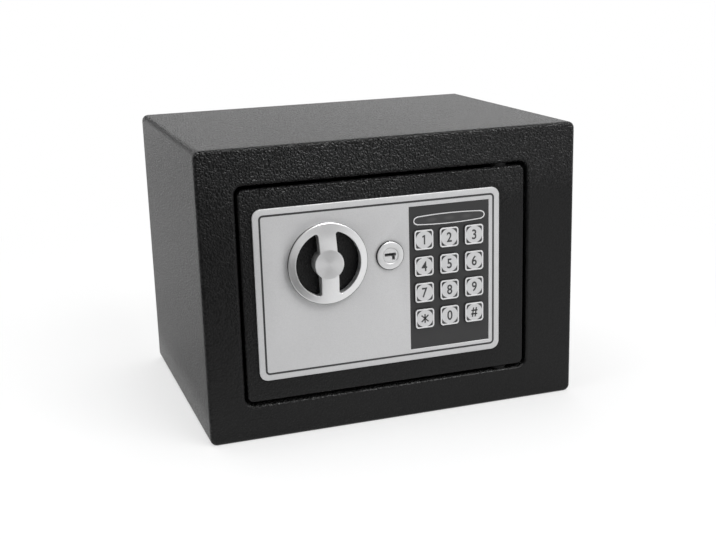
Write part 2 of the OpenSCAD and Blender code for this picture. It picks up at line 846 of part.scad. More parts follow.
// One window of the knob, on the side given by sign, with rounded outer corners
module knob_window(sign) {
    fillet_x = bar_w / 2 + window_fillet;
    fillet_d = window_r - window_fillet;
    fillet_z = sqrt(fillet_d * fillet_d - fillet_x * fillet_x);
    past = 1.2;
    mirror([sign > 0 ? 0 : 1, 0])
        difference() {
            intersection() {
                circle(window_r, $fn = 96);
                translate([bar_w / 2, -window_r]) square([window_r, 2 * window_r]);
            }
            circle(hub_r, $fn = 96);
            for (up = [-1, 1])
                difference() {
                    polygon([[fillet_x, up * fillet_z], [fillet_x - 2 * window_fillet, up * fillet_z],
                             [fillet_x - 2 * window_fillet, up * fillet_z * past],
                             [fillet_x * past, up * fillet_z * past]]);
                    translate([fillet_x, up * fillet_z]) circle(window_fillet, $fn = 32);
                }
        }
}

// Half section of the knob's disc: a low dome inside, a cone outside and an overhanging lip
module knob_section(h0, h1) {
    dome_r = (window_r * window_r + knob_rise * knob_rise) / (2 * knob_rise);
    lip_h = fascia_t + knob_lip_h;
    intersection() {
        translate([0, h1 + knob_rise - dome_r]) circle(dome_r, $fn = 1440);
        translate([0, h0]) square([window_r, h1]);
    }
    polygon([[window_r, h0], [knob_r - knob_step, h0], [knob_r - knob_step, lip_h - knob_lip],
             [knob_r, lip_h - knob_lip], [knob_r, lip_h], [knob_r - 0.5, lip_h + 0.4], [window_r, h1]]);
}

module knob() {
    h0 = fascia_t + knob_back;
    h1 = fascia_t + knob_h - knob_rise;
    color([0.75, 0.75, 0.76])
        translate([knob_x, front_y, knob_z])
            rotate([90, 0, 0])
                difference() {
                    union() {
                        difference() {
                            rotate_extrude($fn = 96) knob_section(h0, h1);
                            translate([0, 0, h0 - 1])
                                linear_extrude(knob_h + 3) {
                                    knob_window(1);
                                    knob_window(-1);
                                }
                        }
                        translate([0, 0, 0.3]) cylinder(h = h1 - 0.3, r = hub_r, $fn = 96);
                    }
                    translate([0, 0, -1]) cylinder(h = 1 + h1, r = spindle_r + slip);
                }
}

module knob_spindle() {
    color("silver") rod(knob_x, knob_z, fascia_y0 - knob_h + knob_rise, spindle_y1, spindle_r);
}

module crank_disc() {
    color([0.6, 0.6, 0.62])
        difference() {
            union() {
                rod(knob_x, knob_z, crank_y0, crank_y1, 12);
                rod(pin_x, knob_z + throw / 2, crank_y0, plate_y1 + 2, crank_pin_r);
            }
            rod(knob_x, knob_z, crank_y0 - 1, crank_y1 + 1, spindle_r + slip);
        }
}

module spindle_clip() {
    color([0.3, 0.3, 0.3])
        difference() {
            rod(knob_x, knob_z, crank_y1, crank_y1 + 0.8, 5.7);
            rod(knob_x, knob_z, crank_y1 - 1, crank_y1 + 2, spindle_r + slip);
        }
}

module bolt_carriage() {
    slot_r = stud_r + 0.15;
    pin_slot = crank_pin_r + 0.4;
    pin_low = knob_z + throw / 2;
    pin_high = knob_z + crank_r;
    color([0.62, 0.62, 0.64])
        difference() {
            union() {
                block(plate_x0, plate_x1, plate_y0, plate_y1, plate_z0, plate_z1);
                block(plate_x0, strip_x1, plate_y0, plate_y1, flange_z0, plate_z0);
                block(plate_x0, plate_x0 + flange_t, plate_y0, flange_y1, flange_z0, plate_z1);
            }
            slab(plate_y0 - 1, plate_y1 + 1) {
                for (z = stud_z) {
                    translate([stud_x, z - slot_r]) square([throw, 2 * slot_r]);
                    translate([stud_x, z]) circle(slot_r);
                    translate([stud_x + throw, z]) circle(slot_r);
                }
                translate([pin_x - pin_slot, pin_low]) square([2 * pin_slot, pin_high - pin_low]);
                translate([pin_x, pin_low]) circle(pin_slot);
                translate([pin_x, pin_high]) circle(pin_slot);
            }
            for (z = [bolt_z0, bolt_z1])
                translate([plate_x0 - 1, bolt_y, z]) rotate([0, 90, 0]) cylinder(h = 4, r = tenon_r + slip);
        }
}

module bolts() {
    tip = 1;
    color([0.8, 0.8, 0.82])
        for (z = [bolt_z0, bolt_z1])
            translate([bolt_tip, bolt_y, z])
                rotate([0, 90, 0]) {
                    cylinder(h = tip, r1 = bolt_r - tip, r2 = bolt_r);
                    translate([0, 0, tip]) cylinder(h = plate_x0 - bolt_tip - tip, r = bolt_r);
                    translate([0, 0, plate_x0 - bolt_tip]) cylinder(h = flange_t + 0.6, r = tenon_r);
                }
}

module lock_arm() {
    tail = 6;
    color([0.62, 0.62, 0.64])
        block(plate_x1 - tail, arm_x1, plate_y1, plate_y1 + 1.2, arm_z0, arm_z1);
}

module stop_lugs() {
    gap_x = lock_x + throw;
    color([0.5, 0.5, 0.52])
        for (span = [[lock_x - notch_w / 2 - 5.5, lock_x - notch_w / 2],
                     [lock_x + notch_w / 2, gap_x - notch_w / 2],
                     [gap_x + notch_w / 2, arm_x1]])
            block(span[0], span[1], plate_y0, plate_y1, arm_z0 - lug_drop, arm_z1);
}

module lock_plug() {
    keyway_z = lock_z + keyway_rise;
    keyway_y1 = barrel_y1 - 4;
    color([0.7, 0.7, 0.72])
        difference() {
            union() {
                rod(lock_x, lock_z, plug_face_y, barrel_y1, plug_r);
                rod(lock_x, lock_z, barrel_y1, barrel_y1 + 2.2, 3);
            }
            block(lock_x - keyway_w / 2, lock_x + keyway_w / 2, plug_face_y - 1, keyway_y1,
                  keyway_z - keyway_h / 2, keyway_z + keyway_h / 2);
            block(lock_x + keyway_notch[0], lock_x + keyway_notch[1], plug_face_y - 1, keyway_y1,
                  lock_z - keyway_notch[2], keyway_z);
        }
}

module lock_cam() {
    cam_y0 = barrel_y1 + 0.1;
    cam_y1 = barrel_y1 + 2;
    color([0.62, 0.62, 0.64])
        difference() {
            union() {
                rod(lock_x, lock_z, cam_y0, cam_y1, cam_r);
                rod(lock_x + cam_pin_off, lock_z - cam_pin_off, cam_y0, link_y1 + 0.4, cam_pin_r);
            }
            rod(lock_x, lock_z, cam_y0 - 1, cam_y1 + 1, 3 + slip);
        }
}

module plunger() {
    color("silver")
        translate([lock_x, plunger_y, 0]) {
            translate([0, 0, plunger_z0]) cylinder(h = plunger_z1 - plunger_z0, r = plunger_r);
            translate([0, 0, collar_z0]) cylinder(h = collar_z1 - collar_z0, r = collar_r);
        }
}

module release_link() {
    foot_x0 = lock_x - 5;
    slot_x = lock_x + cam_pin_off * 1.2;
    slot_z = lock_z - cam_pin_off;
    color([0.62, 0.62, 0.64])
        difference() {
            union() {
                block(foot_x0, lock_x + 5, plunger_y - 5, link_y1, collar_z1, collar_z1 + 1.2);
                block(foot_x0, lock_x + 7.5, link_y0, link_y1, collar_z1, slot_z + 4.5);
            }
            translate([lock_x, plunger_y, collar_z1 - 1]) cylinder(h = 4, r = plunger_r + slip);
            block(slot_x - 2.6, slot_x + 2.6, link_y0 - 1, link_y1 + 1, slot_z - 1.7, slot_z + 1.7);
        }
}

module plunger_spring() {
    z0 = coil_z1 + yoke_t;
    h = collar_z0 - z0;
    pitch = 1.1;
    wire_t = 0.55;
    inner = plunger_r + 0.5;
    outer = inner + wire_t;
    steps = 5;
    arc = [for (i = [0:steps]) 360 * wire_t / pitch * i / steps];
    color("gray")
        translate([lock_x, plunger_y, z0])
            linear_extrude(height = h, twist = -360 * h / pitch, slices = 32)
                polygon(concat([for (a = arc) outer * [cos(a), sin(a)]],
                               [for (i = [steps:-1:0]) inner * [cos(arc[i]), sin(arc[i])]]));
}

module battery_lid() {
    y0 = cover_y1 + slip;
    y1 = y0 + lid_t;
    rib_w = 1;
    rib_h = 0.8;
    rib_pitch = 3;
    color([0.1, 0.1, 0.11]) {
        block(lid_x0, lid_x1, y0, y1, lid_z0, lid_z1);
        for (x = [lid_x0 + 8:rib_pitch:lid_x0 + 8 + 4 * rib_pitch])
            block(x, x + rib_w, y1, y1 + rib_h, lid_z0 + 9, lid_z1 - 9);
    }
}

module reset_button() {
    color([0.7, 0.08, 0.06])
        rod(reset_x, reset_z, box_y1 - 7 + reset_travel + free, cover_y1 + reset_travel + 0.6, reset_r);
}

module key(i) {
    x = key_at(i)[0];
    z = key_at(i)[1];
    half = key_w / 2;
    foot = half + 0.8;
    color([0.66, 0.66, 0.67]) {
        slab(key_y0, front_y + 0.4) rounded(x - half, x + half, z - half, z + half, key_r);
        block(x - foot, x + foot, front_y, front_y + key_foot_t, z - foot, z + foot);
    }
}

body_wrap();
front_frame();
back_panel();
floor_mat();
hinge_bushes();
door_plate();
door_box();
inner_cover();
screws();
hinge_blocks();
hinge_pins();
hinge_washers();
fascia();
keypad_panel();
lamp_lens();
lamps();
keypad_housing();
key_mat();
circuit_board();
buzzer();
spindle_bush();
guide_studs();
solenoid_frame();
solenoid_coil();
lock_barrel();
lock_nut();
battery_tray();
battery_contacts();
batteries();
wiring();
reset_switch();
knob();
knob_spindle();
crank_disc();
spindle_clip();
bolt_carriage();
bolts();
lock_arm();
stop_lugs();
lock_plug();
lock_cam();
plunger();
release_link();
plunger_spring();
battery_lid();
reset_button();
for (i = [0:11])
    key(i);
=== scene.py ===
"""Looks of the small keypad safe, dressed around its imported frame. Metres, X right, Y back, Z up."""

import json
import math

import bmesh
import bpy
from mathutils import Matrix, Vector

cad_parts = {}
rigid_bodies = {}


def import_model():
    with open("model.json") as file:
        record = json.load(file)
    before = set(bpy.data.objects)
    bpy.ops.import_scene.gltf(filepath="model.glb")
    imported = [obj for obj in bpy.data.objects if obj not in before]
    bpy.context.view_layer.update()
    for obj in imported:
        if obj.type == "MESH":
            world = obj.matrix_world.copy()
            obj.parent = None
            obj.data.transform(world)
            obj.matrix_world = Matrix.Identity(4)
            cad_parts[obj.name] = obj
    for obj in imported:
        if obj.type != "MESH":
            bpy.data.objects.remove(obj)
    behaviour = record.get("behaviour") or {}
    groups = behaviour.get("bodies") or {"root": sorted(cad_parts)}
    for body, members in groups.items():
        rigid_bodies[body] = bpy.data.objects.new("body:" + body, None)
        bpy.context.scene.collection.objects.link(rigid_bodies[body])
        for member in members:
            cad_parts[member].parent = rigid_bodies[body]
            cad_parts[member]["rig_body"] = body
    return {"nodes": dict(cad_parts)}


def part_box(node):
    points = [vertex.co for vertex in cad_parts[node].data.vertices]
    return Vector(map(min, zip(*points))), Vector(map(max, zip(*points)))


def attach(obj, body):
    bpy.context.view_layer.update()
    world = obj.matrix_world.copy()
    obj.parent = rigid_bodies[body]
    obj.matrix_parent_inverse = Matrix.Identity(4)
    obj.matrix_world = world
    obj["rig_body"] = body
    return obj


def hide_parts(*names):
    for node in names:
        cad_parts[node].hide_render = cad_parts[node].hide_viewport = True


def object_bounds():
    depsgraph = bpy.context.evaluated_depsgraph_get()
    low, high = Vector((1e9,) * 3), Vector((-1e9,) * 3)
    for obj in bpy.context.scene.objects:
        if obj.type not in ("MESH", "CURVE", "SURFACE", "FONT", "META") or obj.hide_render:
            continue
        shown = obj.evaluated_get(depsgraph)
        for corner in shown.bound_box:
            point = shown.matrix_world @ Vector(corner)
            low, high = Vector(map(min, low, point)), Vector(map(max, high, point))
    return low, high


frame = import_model()
nodes = frame["nodes"]
cad_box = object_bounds()

MM = 0.001

# The photograph's camera, in the object's own frame
CAMERA_PLACE = (-0.23087, -0.69823, 0.26833)
CAMERA_TURN_DEG = (74.958, 1.6132, -19.099)
CAMERA_LENS = 58.741
SENSOR_W = 36.0
NEAR_CLIP = 0.01

# Studio. The camera and reflections see the world white, and it lights the safe with a lower strength.
# The floor's share of pure white grows with the distance from the safe.
WORLD_SEEN = 1.0
WORLD_FILL = 0.45
FLOOR_W = 6
FLOOR_TONE = (0.86, 0.86, 0.86)
FLOOR_FADE_REACH = (0.2, 0.55)
FLOOR_WHITE_SHARE = (0.55, 1)
LIGHT_TARGET = (0, 0, 0.1)

# Black powder coat. The wrinkle's counts are per metre, its depths in metres.
COAT = (0.006, 0.006, 0.0062)
# The lighter colour painted on the coat's sharp edges as a highlight
COAT_EDGE_HIGHLIGHT = (0.03, 0.03, 0.031)
# How much darker the wrinkle's valleys are painted, as shade in the folds
COAT_VALLEY_SHADE_SHARE = 0.6
FOLDS_PER_M = 850
FOLD_SMOOTHNESS = 0.3
WARP_PER_M = 470
WARP_PUSH = 1.6 * MM
FINE_PER_M = 1900
FINE_SHARE = 0.3
FOLD_DEPTH = 0.8 * MM
FOLD_DEPTH_ON_TOP = 2.2 * MM
FOLD_DEPTH_ON_SIDES = 1.2 * MM
# The front's wrinkle deepens towards its top, over this height, with an uneven lower border
DEEP_HEIGHTS = (0.12, 0.175)
DEEP_BORDER_PER_M = 30
DEEP_BORDER_SHIFT = 0.03
# It is weaker at the left end of the front, and the shallow wrinkle fades to the right
DEEP_ACROSS = (cad_box[0][0], -0.04)
DEEP_AT_LEFT = (0.4, 1)
SHALLOW_ACROSS = (-0.08, 0.09)
SHALLOW_STRENGTH = (0.5, 0.22)
TOP_STRENGTH = 0.5
DEEP_STRENGTH = 0.65
COAT_ROUGHNESS = (0.32, 0.22)

# Other finishes, and the painted shade: a dark line painted round the outer edge of the knob and of the lock,
# from the radii below outward
INNER_PAINT = (0.02, 0.02, 0.021)
FOOT_SHADE_TONE = (0.03, 0.03, 0.03)
FOOT_SHADE_SOFT = 0.3 * MM
NOISE_REACH = (0.3, 0.7)
KNOB_SHADE_LINE_R = 23.3 * MM
LOCK_SHADE_LINE_R = 7.9 * MM
KNOB_TILT_DEG = -2

# Rounding and shading of edges
SHARP_DEG = 28
BAND_SHARP_DEG = 50
BEVEL_STEPS = 3
WELD = 1e-6
FLAT_DEG = 0.4
CORNER_STEPS = 8

# Pinstripe printed round the fascia
STRIPE_INSET = 3.35 * MM
STRIPE_W = 1.15 * MM
STRIPE_CORNER = 2.6 * MM
STRIPE_RAISED = 0.03 * MM

# Lamp lens. Its foot is the flange that the panel hides.
LENS_FOOT = 1 * MM
LENS_CORNER = 2.3 * MM
LENS_BOW = 0.9 * MM
LENS_RIM_W = 0.5 * MM
LENS_RIM_PROUD = 0.12 * MM
LENS_RIM_SUNK = 0.4 * MM
LENS_STEPS = 40
LENS_END_STEPS = 9
LAMP_W = 3.8 * MM

# Keys. Depths are from the front of the CAD key; its foot is the flange behind the panel.
KEY_FOOT = 0.8 * MM
KEY_EDGE = 0.25 * MM
KEY_SINK = 0.02 * MM
RIM_W = 0.85 * MM
RIM_CORNER = 1.8 * MM
RIM_INNER_CORNER = 1.15 * MM
RIM_PROUD = 0.25 * MM
RIM_SUNK = 0.3 * MM
RIM_EDGE = 0.18 * MM
DISC_LAP = 0.15 * MM
DISC_PROUD = 0.12 * MM
DISC_SUNK = 0.2 * MM
DISC_STEPS = 48
PRINT_PROUD = 0.14 * MM
PRINT_HALF_DEPTH = 0.02 * MM

# Signs on the keys
SIGN_H = 5.9 * MM
FONT_SIZE_PER_H = 1.38    # the typeface's size, per height of its digits
FONT_SWELL = 0.15 * MM    # how far the outlines are thickened
SIGN_SQUEEZE = 0.86
STROKE_HALF_W = 0.42 * MM
KEY_NAMES = ["1", "2", "3", "4", "5", "6", "7", "8", "9", "star", "0", "hash"]
# Signs drawn from straight strokes, in mm from the key's middle: x0, z0, x1, z1
STROKES = {
    "1": [(0.3, -2.8, 0.3, 2.8), (-1.0, 1.6, 0.3, 2.5)],
    "star": [(0, -2.7, 0, 2.7), (-2.2, -2, 2.2, 2), (-2.2, 2, 2.2, -2)],
    "hash": [(-1.3, -2.9, -0.5, 2.9), (0.5, -2.9, 1.3, 2.9), (-2.1, -1.1, 1.9, -1.1), (-1.9, 1.1, 2.1, 1.1)],
}


# ---------------------------------------------------------------- camera, light, floor

def link_object(obj):
    bpy.context.scene.collection.objects.link(obj)
    return obj


def make_camera():
    data = bpy.data.cameras.new("camera")
    data.lens = CAMERA_LENS
    data.sensor_width = SENSOR_W
    data.sensor_fit = "HORIZONTAL"
    data.clip_start = NEAR_CLIP
    cam = link_object(bpy.data.objects.new("camera", data))
    cam.location = CAMERA_PLACE
    cam.rotation_euler = [math.radians(a) for a in CAMERA_TURN_DEG]
    bpy.context.scene.camera = cam


def make_area_light(name, place, size, power, target=LIGHT_TARGET, diffuse=True):
    data = bpy.data.lights.new(name, "AREA")
    data.shape = "RECTANGLE"
    data.size, data.size_y = size
    data.energy = power
    lamp = link_object(bpy.data.objects.new(name, data))
    lamp.location = place
    lamp.visible_diffuse = diffuse
    aim = Vector(target) - Vector(place)
    lamp.rotation_euler = aim.to_track_quat("-Z", "Y").to_euler()


def seen_directly(tree):
    """1 for camera, glossy and transmission rays, 0 for the rays that only carry light."""
    path = tree.nodes.new("ShaderNodeLightPath")
    both = add_math(tree, "MAXIMUM", path.outputs["Is Camera Ray"], path.outputs["Is Glossy Ray"])
    return add_math(tree, "MAXIMUM", both, path.outputs["Is Transmission Ray"])


def mix_shaders(tree, fac, first, second, out):
    """Sends a mix of two shaders to the output: the first at 0, the second at 1."""
    mix = tree.nodes.new("ShaderNodeMixShader")
    tree.links.new(fac, mix.inputs["Fac"])
    tree.links.new(first.outputs[0], mix.inputs[1])
    tree.links.new(second.outputs[0], mix.inputs[2])
    tree.links.new(mix.outputs[0], out.inputs["Surface"])


def make_world():
    world = bpy.data.worlds.new("studio")
    bpy.context.scene.world = world
    world.use_nodes = True
    tree = world.node_tree
    tree.nodes.clear()
    skies = []
    for strength in (WORLD_FILL, WORLD_SEEN):
        sky = tree.nodes.new("ShaderNodeBackground")
        sky.inputs["Color"].default_value = (1, 1, 1, 1)
        sky.inputs["Strength"].default_value = strength
        skies.append(sky)
    mix_shaders(tree, seen_directly(tree), *skies, tree.nodes.new("ShaderNodeOutputWorld"))


def make_floor():
    bpy.ops.mesh.primitive_plane_add(size=FLOOR_W, location=(0, 0, 0))
    floor = bpy.context.object
    floor.name = "studio_floor"
    mat, tree, shader = new_material("floor_paper", FLOOR_TONE, 0.7)
    where = tree.nodes.new("ShaderNodeNewGeometry")
    distance = tree.nodes.new("ShaderNodeVectorMath")
    distance.operation = "LENGTH"
    tree.links.new(where.outputs["Position"], distance.inputs[0])
    fade = add_range(tree, distance.outputs["Value"], FLOOR_FADE_REACH, FLOOR_WHITE_SHARE)
    fac = add_math(tree, "MULTIPLY", fade, seen_directly(tree))
    glow = tree.nodes.new("ShaderNodeEmission")
    glow.inputs["Color"].default_value = (1, 1, 1, 1)
    mix_shaders(tree, fac, shader, glow, tree.nodes["Material Output"])
    give(floor, mat)


def make_card(name, place, size, turn_deg=(0, 0, 0), tone=0.01):
    """A card that only reflections see: it darkens what metal and coat mirror, and casts no shadow."""
    bpy.ops.mesh.primitive_plane_add(size=1, location=place, rotation=[math.radians(a) for a in turn_deg])
    card = bpy.context.object
    card.name = name
    card.scale = (*size, 1)
    card.visible_camera = False
    card.visible_diffuse = False
    card.visible_transmission = False
    card.visible_shadow = False
    mat, _, _ = new_material(name + "_grey", (tone, tone, tone), 1.0, specular=0.0)
    give(card, mat)


# ---------------------------------------------------------------- material helpers

def new_material(name, color, roughness, metallic=0.0, specular=0.5):
    mat = bpy.data.materials.new(name)
    mat.use_nodes = True
    tree = mat.node_tree
    shader = tree.nodes["Principled BSDF"]
    shader.inputs["Base Color"].default_value = (*color, 1)
    shader.inputs["Roughness"].default_value = roughness
    shader.inputs["Metallic"].default_value = metallic
    shader.inputs["Specular IOR Level"].default_value = specular
    return mat, tree, shader


def add_math(tree, operation, a, b=None):
    node = tree.nodes.new("ShaderNodeMath")
    node.operation = operation
    for i, value in enumerate((a, b)):
        if value is None:
            continue
        if isinstance(value, (int, float)):
            node.inputs[i].default_value = value
        else:
            tree.links.new(value, node.inputs[i])
    return node.outputs[0]


def add_sum(tree, first, *others):
    for value in others:
        first = add_math(tree, "ADD", first, value)
    return first


def add_hypotenuse(tree, across, up):
    squares = [add_math(tree, "POWER", side, 2.0) for side in (across, up)]
    return add_math(tree, "SQRT", add_sum(tree, *squares))


def add_range(tree, value, reach, result=(0, 1)):
    """Goes smoothly from one result to the other while the value crosses its reach."""
    node = tree.nodes.new("ShaderNodeMapRange")
    node.interpolation_type = "SMOOTHSTEP"
    tree.links.new(value, node.inputs["Value"])
    for key, number in zip(("From Min", "From Max", "To Min", "To Max"), (*reach, *result)):
        node.inputs[key].default_value = number
    return node.outputs["Result"]


def object_coords(tree, stretch=(1, 1, 1)):
    coords = tree.nodes.new("ShaderNodeTexCoord")
    mapping = tree.nodes.new("ShaderNodeMapping")
    mapping.inputs["Scale"].default_value = stretch
    tree.links.new(coords.outputs["Object"], mapping.inputs["Vector"])
    return mapping.outputs["Vector"]


def split_xyz(tree, vector):
    node = tree.nodes.new("ShaderNodeSeparateXYZ")
    tree.links.new(vector, node.inputs[0])
    return node.outputs["X"], node.outputs["Y"], node.outputs["Z"]


def noise_node(tree, vector, per_metre, detail=3, rough=0.5):
    node = tree.nodes.new("ShaderNodeTexNoise")
    tree.links.new(vector, node.inputs["Vector"])
    node.inputs["Scale"].default_value = per_metre
    node.inputs["Detail"].default_value = detail
    node.inputs["Roughness"].default_value = rough
    return node


def add_noise(tree, vector, per_metre, detail=3, rough=0.5):
    return noise_node(tree, vector, per_metre, detail, rough).outputs["Fac"]


def add_wave(tree, direction, scale, distortion=0.0, detail_scale=1.0):
    node = tree.nodes.new("ShaderNodeTexWave")
    node.bands_direction = direction
    node.inputs["Scale"].default_value = scale
    node.inputs["Distortion"].default_value = distortion
    node.inputs["Detail Scale"].default_value = detail_scale
    tree.links.new(object_coords(tree), node.inputs["Vector"])
    return node.outputs["Fac"]


def add_bump(tree, shader, height, depth, strength=1.0):
    bump = tree.nodes.new("ShaderNodeBump")
    bump.inputs["Strength"].default_value = strength
    bump.inputs["Distance"].default_value = depth
    tree.links.new(height, bump.inputs["Height"])
    tree.links.new(bump.outputs["Normal"], shader.inputs["Normal"])
    return bump


def blend_colors(tree, fac, low, high):
    """A blend from low to high, each a colour or another node's output."""
    node = tree.nodes.new("ShaderNodeMix")
    node.data_type = "RGBA"
    tree.links.new(fac, node.inputs["Factor"])
    for key, color in (("A", low), ("B", high)):
        if isinstance(color, tuple):
            node.inputs[key].default_value = (*color, 1)
        else:
            tree.links.new(color, node.inputs[key])
    return node.outputs["Result"]


def color_by(tree, shader, fac, low, high):
    tree.links.new(blend_colors(tree, fac, low, high), shader.inputs["Base Color"])


def uneven_gloss(tree, shader, per_metre, low, high):
    """Lets the roughness wander between two values in broad patches."""
    patches = add_noise(tree, object_coords(tree), per_metre)
    tree.links.new(add_range(tree, patches, NOISE_REACH, (low, high)), shader.inputs["Roughness"])


def bevel_node(tree, radius, samples):
    node = tree.nodes.new("ShaderNodeBevel")
    node.samples = samples
    node.inputs["Radius"].default_value = radius
    return node.outputs["Normal"]


def edge_highlight_mask(tree, radius):
    """About 1 on sharp edges and 0 on flat surfaces: the mask for a painted highlight along edges."""
    flat = tree.nodes.new("ShaderNodeNewGeometry")
    dot = tree.nodes.new("ShaderNodeVectorMath")
    dot.operation = "DOT_PRODUCT"
    tree.links.new(bevel_node(tree, radius, 4), dot.inputs[0])
    tree.links.new(flat.outputs["Normal"], dot.inputs[1])
    return add_range(tree, dot.outputs["Value"], (0.97, 0.75))


def round_shading(mat, radius):
    """Shades a material's edges as if they were rounded."""
    tree = mat.node_tree
    rounded = bevel_node(tree, radius, 6)
    for node in tree.nodes:
        if node.type == "BUMP":
            tree.links.new(rounded, node.inputs["Normal"])


def paint_shade_line(mat, node, radius):
    """Darkens a round piece's outermost line, from radius outward: painted shade standing in for the shadow
    line at its foot.
    """
    tree = mat.node_tree
    shader = tree.nodes["Principled BSDF"]
    middle = box_middle(node)
    x, _, z = split_xyz(tree, object_coords(tree))
    across = add_math(tree, "SUBTRACT", x, middle.x)
    up = add_math(tree, "SUBTRACT", z, middle.z)
    shade_line = add_range(tree, add_hypotenuse(tree, across, up), (radius, radius + FOOT_SHADE_SOFT))
    color_by(tree, shader, shade_line, shader.inputs["Base Color"].links[0].from_socket, FOOT_SHADE_TONE)


# ---------------------------------------------------------------- materials

def wrinkle_folds(tree, where):
    """The coat's folds, high on the ridges: cells whose places are pushed about by noise."""
    warp = noise_node(tree, where, WARP_PER_M, 2)
    push = tree.nodes.new("ShaderNodeVectorMath")
    push.operation = "MULTIPLY_ADD"
    push.inputs[1].default_value = (WARP_PUSH, WARP_PUSH, WARP_PUSH)
    tree.links.new(warp.outputs["Color"], push.inputs[0])
    tree.links.new(where, push.inputs[2])
    cells = tree.nodes.new("ShaderNodeTexVoronoi")
    cells.feature = "SMOOTH_F1"
    cells.inputs["Scale"].default_value = FOLDS_PER_M
    cells.inputs["Smoothness"].default_value = FOLD_SMOOTHNESS
    tree.links.new(push.outputs[0], cells.inputs["Vector"])
    return add_math(tree, "SUBTRACT", 1.0, cells.outputs["Distance"])


def wrinkle_coat(name, specular):
    """Black powder coat with a leathery wrinkle, deepest along the top of the front."""
    mat, tree, shader = new_material(name, COAT, 0.3, specular=specular)
    where = object_coords(tree)
    folds = wrinkle_folds(tree, where)
    fine = add_noise(tree, where, FINE_PER_M, 2)
    height = add_sum(tree, folds, add_math(tree, "MULTIPLY", fine, FINE_SHARE))
    bump = add_bump(tree, shader, height, FOLD_DEPTH)

    x, _, z = split_xyz(tree, where)
    facing_x, facing_y, facing_z = split_xyz(
        tree, tree.nodes.new("ShaderNodeNewGeometry").outputs["True Normal"])
    front = add_range(tree, facing_y, (-0.3, -0.9))
    above = add_range(tree, facing_z, (0.5, 0.95))
    beside = add_range(tree, add_math(tree, "ABSOLUTE", facing_x), (0.5, 0.95))

    border = add_math(tree, "MULTIPLY", add_noise(tree, where, DEEP_BORDER_PER_M), DEEP_BORDER_SHIFT)
    high_up = add_range(tree, add_sum(tree, z, border), DEEP_HEIGHTS)
    inward = add_math(tree, "MULTIPLY", add_range(tree, x, DEEP_ACROSS, DEEP_AT_LEFT), front)
    deep = add_math(tree, "MULTIPLY", high_up, inward)
    strength = add_sum(tree,
                       add_range(tree, x, SHALLOW_ACROSS, SHALLOW_STRENGTH),
                       add_math(tree, "MULTIPLY", above, TOP_STRENGTH),
                       add_math(tree, "MULTIPLY", deep, DEEP_STRENGTH))
    depth = add_sum(tree,
                    add_math(tree, "MULTIPLY", above, FOLD_DEPTH_ON_TOP),
                    add_math(tree, "MULTIPLY", beside, FOLD_DEPTH_ON_SIDES),
                    FOLD_DEPTH)
    tree.links.new(strength, bump.inputs["Strength"])
    tree.links.new(depth, bump.inputs["Distance"])
    tree.links.new(add_range(tree, deep, (0, 1), COAT_ROUGHNESS), shader.inputs["Roughness"])

    # The wrinkle's valleys are painted darker than its ridges: painted shade in the folds
    ridge = add_range(tree, folds, (0.35, 0.75))
    tone = blend_colors(tree, ridge, tuple(c * COAT_VALLEY_SHADE_SHARE for c in COAT), COAT)
    # Sharp edges are lightened as a painted highlight
    color_by(tree, shader, edge_highlight_mask(tree, 0.6 * MM), tone, COAT_EDGE_HIGHLIGHT)
    return mat


def smooth_paint():
    """Thin satin black paint on folded inner sheet metal, with a little orange peel."""
    mat, tree, shader = new_material("smooth_paint", INNER_PAINT, 0.45)
    add_bump(tree, shader, add_noise(tree, object_coords(tree), 260, 2), 0.12 * MM, strength=0.5)
    uneven_gloss(tree, shader, 14, 0.38, 0.55)
    # Sharp edges are lightened as a painted highlight
    color_by(tree, shader, edge_highlight_mask(tree, 0.5 * MM), INNER_PAINT, (0.06, 0.06, 0.06))
    return mat


def satin_metal(name, color, roughness, per_metre, depth, spread=0.06, metallic=1.0, stretch=(1, 1, 1)):
    """Bare or plated metal with a fine grain, which may be stretched, and slightly uneven gloss."""
    mat, tree, shader = new_material(name, color, roughness, metallic=metallic)
    grain = add_noise(tree, object_coords(tree, stretch), per_metre, 3, 0.6)
    add_bump(tree, shader, grain, depth, strength=0.35)
    uneven_gloss(tree, shader, 60, roughness - spread, roughness + spread)
    color_by(tree, shader, grain, tuple(c * 0.9 for c in color), color)
    return mat


def lock_satin(name):
    return satin_metal(name, (0.68, 0.68, 0.685), 0.34, 1600, 0.02 * MM, spread=0.05, metallic=0.6)


def turned_satin():
    """The knob's satin plating, turned round its axis, so that its highlights fan out."""
    mat = satin_metal("turned_satin", (0.74, 0.74, 0.745), 0.31, 1400, 0.005 * MM, spread=0.02, metallic=0.82)
    tree = mat.node_tree
    shader = tree.nodes["Principled BSDF"]
    # A thin dark line of painted shade round the knob's outer edge
    paint_shade_line(mat, "knob", KNOB_SHADE_LINE_R)
    round_shading(mat, 0.6 * MM)
    shader.inputs["Anisotropic"].default_value = 0.5
    round_axis = tree.nodes.new("ShaderNodeTangent")
    round_axis.direction_type = "RADIAL"
    round_axis.axis = "Y"
    tree.links.new(round_axis.outputs[0], shader.inputs["Tangent"])
    return mat


def fascia_silver():
    """Silver satin print on thin metal: even, with a very fine sparkle."""
    mat, tree, shader = new_material("fascia_silver", (0.505, 0.505, 0.51), 0.48, metallic=0.3, specular=0.4)
    flakes = add_noise(tree, object_coords(tree), 3800, 1)
    add_bump(tree, shader, flakes, 0.02 * MM, strength=0.25)
    sparkle = add_range(tree, flakes, (0.35, 0.65))
    color_by(tree, shader, sparkle, (0.475, 0.475, 0.48), (0.535, 0.535, 0.54))
    uneven_gloss(tree, shader, 22, 0.44, 0.56)
    return mat


